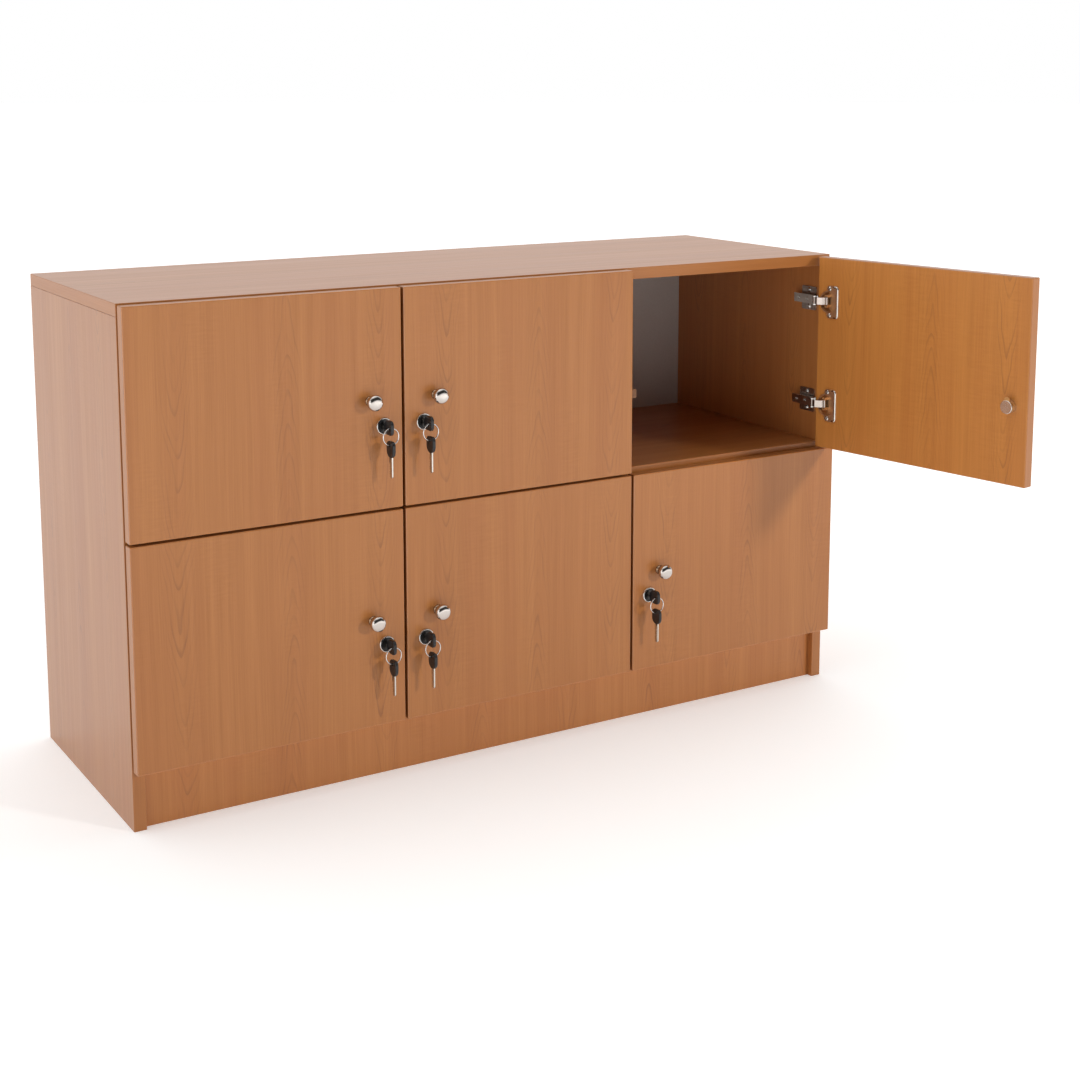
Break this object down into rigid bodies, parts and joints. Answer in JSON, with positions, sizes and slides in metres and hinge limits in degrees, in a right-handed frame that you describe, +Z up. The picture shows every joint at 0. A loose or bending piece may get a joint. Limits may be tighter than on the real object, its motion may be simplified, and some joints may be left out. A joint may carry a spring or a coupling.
{
  "type": "low locker cabinet",
  "caption": "Low wood-laminate locker cabinet with overlay doors on concealed hinges, mushroom knobs, keyed cam locks with hanging spare keys, and a recessed plinth.",
  "frame": {"origin": "on the floor, at the middle of the front plinth rail's underside", "axes": "+X to the right seen from the front, +Y from the doors to the back, +Z up"},
  "size_m": [1.2825, 0.8053, 0.72],
  "materials": {
    "door_laminate": "cherry-tone laminate, vertical grain, satin",
    "carcass_laminate": "cherry-tone laminate, satin",
    "back_board": "grey lacquered hardboard",
    "hinge_nickel": "nickel-plated pressed steel",
    "zinc_steel": "zinc-plated pressed steel",
    "knob_chrome": "polished chrome",
    "lock_chrome": "polished chrome",
    "lock_steel": "nickel-plated brass and steel",
    "key_plastic": "black moulded bow, nickel blade and steel ring",
    "dowel_beech": "raw fluted beech"
  },
  "bodies": {
    "cabinet": {"side_panel_left": "carcass_laminate", "side_panel_right": "carcass_laminate", "dividers": "carcass_laminate", "top_panel": "carcass_laminate", "bottom_panel": "carcass_laminate", "middle_shelves": "carcass_laminate", "back_panel": "back_board", "plinth_rails": "carcass_laminate", "hinge_arms": "hinge_nickel", "hinge_plates": "hinge_nickel", "strike_plates": "zinc_steel", "dowels": "dowel_beech"},
    "hinge_link_ul": {"hinge_links_ul": "hinge_nickel"},
    "door_ul": {"door_panel_ul": "door_laminate", "hinge_cups_ul": "hinge_nickel", "knob_ul": "knob_chrome", "lock_housing_ul": "lock_chrome"},
    "lock_ul": {"lock_plug_ul": "lock_steel"},
    "key_ul": {"key_ul": "key_plastic"},
    "spare_key_ul": {"spare_key_ul": "key_plastic"},
    "hinge_link_um": {"hinge_links_um": "hinge_nickel"},
    "door_um": {"door_panel_um": "door_laminate", "hinge_cups_um": "hinge_nickel", "knob_um": "knob_chrome", "lock_housing_um": "lock_chrome"},
    "lock_um": {"lock_plug_um": "lock_steel"},
    "key_um": {"key_um": "key_plastic"},
    "spare_key_um": {"spare_key_um": "key_plastic"},
    "hinge_link_ur": {"hinge_links_ur": "hinge_nickel"},
    "door_ur": {"door_panel_ur": "door_laminate", "hinge_cups_ur": "hinge_nickel", "knob_ur": "knob_chrome", "lock_housing_ur": "lock_chrome"},
    "lock_ur": {"lock_plug_ur": "lock_steel"},
    "key_ur": {"key_ur": "key_plastic"},
    "spare_key_ur": {"spare_key_ur": "key_plastic"},
    "hinge_link_ll": {"hinge_links_ll": "hinge_nickel"},
    "door_ll": {"door_panel_ll": "door_laminate", "hinge_cups_ll": "hinge_nickel", "knob_ll": "knob_chrome", "lock_housing_ll": "lock_chrome"},
    "lock_ll": {"lock_plug_ll": "lock_steel"},
    "key_ll": {"key_ll": "key_plastic"},
    "spare_key_ll": {"spare_key_ll": "key_plastic"},
    "hinge_link_lm": {"hinge_links_lm": "hinge_nickel"},
    "door_lm": {"door_panel_lm": "door_laminate", "hinge_cups_lm": "hinge_nickel", "knob_lm": "knob_chrome", "lock_housing_lm": "lock_chrome"},
    "lock_lm": {"lock_plug_lm": "lock_steel"},
    "key_lm": {"key_lm": "key_plastic"},
    "spare_key_lm": {"spare_key_lm": "key_plastic"},
    "hinge_link_lr": {"hinge_links_lr": "hinge_nickel"},
    "door_lr": {"door_panel_lr": "door_laminate", "hinge_cups_lr": "hinge_nickel", "knob_lr": "knob_chrome", "lock_housing_lr": "lock_chrome"},
    "lock_lr": {"lock_plug_lr": "lock_steel"},
    "key_lr": {"key_lr": "key_plastic"},
    "spare_key_lr": {"spare_key_lr": "key_plastic"}
  },
  "joints": [
    {"name": "hinge_link_ul_turn", "type": "hinge", "parent": "cabinet", "child": "hinge_link_ul", "pos_m": [-0.565, -0.024, 0.56075], "axis": [0, 0, -1], "range_deg": [-48, 0]},
    {"name": "door_ul_hinge", "type": "hinge", "parent": "hinge_link_ul", "child": "door_ul", "pos_m": [-0.586, -0.028, 0.56075], "axis": [0, 0, -1], "range_deg": [0, 148]},
    {"name": "lock_ul_turn", "type": "hinge", "parent": "door_ul", "child": "lock_ul", "pos_m": [-0.2285, -0.0395, 0.52375], "axis": [0, 1, 0], "range_deg": [0, 90]},
    {"name": "key_ul_pull", "type": "slide", "parent": "lock_ul", "child": "key_ul", "axis": [0, -1, 0], "range_m": [0, 0.03]},
    {"name": "spare_key_ul_swing", "type": "hinge", "parent": "key_ul", "child": "spare_key_ul", "pos_m": [-0.2285, -0.0623, 0.52375], "axis": [-1, 0, 0], "range_deg": [-12, 85]},
    {"name": "hinge_link_um_turn", "type": "hinge", "parent": "cabinet", "child": "hinge_link_um", "pos_m": [0.161, -0.024, 0.56075], "axis": [0, 0, 1], "range_deg": [-48, 0]},
    {"name": "door_um_hinge", "type": "hinge", "parent": "hinge_link_um", "child": "door_um", "pos_m": [0.182, -0.028, 0.56075], "axis": [0, 0, 1], "range_deg": [0, 148]},
    {"name": "lock_um_turn", "type": "hinge", "parent": "door_um", "child": "lock_um", "pos_m": [-0.1655, -0.0395, 0.52375], "axis": [0, -1, 0], "range_deg": [0, 90]},
    {"name": "key_um_pull", "type": "slide", "parent": "lock_um", "child": "key_um", "axis": [0, -1, 0], "range_m": [0, 0.03]},
    {"name": "spare_key_um_swing", "type": "hinge", "parent": "key_um", "child": "spare_key_um", "pos_m": [-0.1655, -0.0623, 0.52375], "axis": [-1, 0, 0], "range_deg": [-12, 85]},
    {"name": "hinge_link_ur_turn", "type": "hinge", "parent": "cabinet", "child": "hinge_link_ur", "pos_m": [0.565, -0.024, 0.56075], "axis": [0, 0, 1], "range_deg": [0, 48]},
    {"name": "door_ur_hinge", "type": "hinge", "parent": "hinge_link_ur", "child": "door_ur", "pos_m": [0.57608, -0.04228, 0.56075], "axis": [0, 0, 1], "range_deg": [-148, 0]},
    {"name": "lock_ur_turn", "type": "hinge", "parent": "door_ur", "child": "lock_ur", "pos_m": [0.64948, -0.39235, 0.52375], "axis": [0.9848, 0.1736, 0], "range_deg": [0, 90]},
    {"name": "key_ur_pull", "type": "slide", "parent": "lock_ur", "child": "key_ur", "axis": [0.9848, 0.1736, 0], "range_m": [0, 0.03]},
    {"name": "spare_key_ur_swing", "type": "hinge", "parent": "key_ur", "child": "spare_key_ur", "pos_m": [0.67194, -0.38839, 0.52375], "axis": [0.1736, -0.9848, 0], "range_deg": [-12, 85]},
    {"name": "hinge_link_ll_turn", "type": "hinge", "parent": "cabinet", "child": "hinge_link_ll", "pos_m": [-0.565, -0.024, 0.24275], "axis": [0, 0, -1], "range_deg": [-48, 0]},
    {"name": "door_ll_hinge", "type": "hinge", "parent": "hinge_link_ll", "child": "door_ll", "pos_m": [-0.586, -0.028, 0.24275], "axis": [0, 0, -1], "range_deg": [0, 148]},
    {"name": "lock_ll_turn", "type": "hinge", "parent": "door_ll", "child": "lock_ll", "pos_m": [-0.2285, -0.0395, 0.20575], "axis": [0, 1, 0], "range_deg": [0, 90]},
    {"name": "key_ll_pull", "type": "slide", "parent": "lock_ll", "child": "key_ll", "axis": [0, -1, 0], "range_m": [0, 0.03]},
    {"name": "spare_key_ll_swing", "type": "hinge", "parent": "key_ll", "child": "spare_key_ll", "pos_m": [-0.2285, -0.0623, 0.20575], "axis": [-1, 0, 0], "range_deg": [-12, 85]},
    {"name": "hinge_link_lm_turn", "type": "hinge", "parent": "cabinet", "child": "hinge_link_lm", "pos_m": [0.161, -0.024, 0.24275], "axis": [0, 0, 1], "range_deg": [-48, 0]},
    {"name": "door_lm_hinge", "type": "hinge", "parent": "hinge_link_lm", "child": "door_lm", "pos_m": [0.182, -0.028, 0.24275], "axis": [0, 0, 1], "range_deg": [0, 148]},
    {"name": "lock_lm_turn", "type": "hinge", "parent": "door_lm", "child": "lock_lm", "pos_m": [-0.1655, -0.0395, 0.20575], "axis": [0, -1, 0], "range_deg": [0, 90]},
    {"name": "key_lm_pull", "type": "slide", "parent": "lock_lm", "child": "key_lm", "axis": [0, -1, 0], "range_m": [0, 0.03]},
    {"name": "spare_key_lm_swing", "type": "hinge", "parent": "key_lm", "child": "spare_key_lm", "pos_m": [-0.1655, -0.0623, 0.20575], "axis": [-1, 0, 0], "range_deg": [-12, 85]},
    {"name": "hinge_link_lr_turn", "type": "hinge", "parent": "cabinet", "child": "hinge_link_lr", "pos_m": [0.565, -0.024, 0.24275], "axis": [0, 0, 1], "range_deg": [-48, 0]},
    {"name": "door_lr_hinge", "type": "hinge", "parent": "hinge_link_lr", "child": "door_lr", "pos_m": [0.586, -0.028, 0.24275], "axis": [0, 0, 1], "range_deg": [0, 148]},
    {"name": "lock_lr_turn", "type": "hinge", "parent": "door_lr", "child": "lock_lr", "pos_m": [0.2285, -0.0395, 0.20575], "axis": [0, -1, 0], "range_deg": [0, 90]},
    {"name": "key_lr_pull", "type": "slide", "parent": "lock_lr", "child": "key_lr", "axis": [0, -1, 0], "range_m": [0, 0.03]},
    {"name": "spare_key_lr_swing", "type": "hinge", "parent": "key_lr", "child": "spare_key_lr", "pos_m": [0.2285, -0.0623, 0.20575], "axis": [-1, 0, 0], "range_deg": [-12, 85]}
  ],
  "couplings": [
    {"joint": "hinge_link_ul_turn", "follows": "door_ul_hinge", "ratio": -0.32432},
    {"joint": "hinge_link_um_turn", "follows": "door_um_hinge", "ratio": -0.32432},
    {"joint": "hinge_link_ur_turn", "follows": "door_ur_hinge", "ratio": -0.32432},
    {"joint": "hinge_link_ll_turn", "follows": "door_ll_hinge", "ratio": -0.32432},
    {"joint": "hinge_link_lm_turn", "follows": "door_lm_hinge", "ratio": -0.32432},
    {"joint": "hinge_link_lr_turn", "follows": "door_lr_hinge", "ratio": -0.32432}
  ]
}
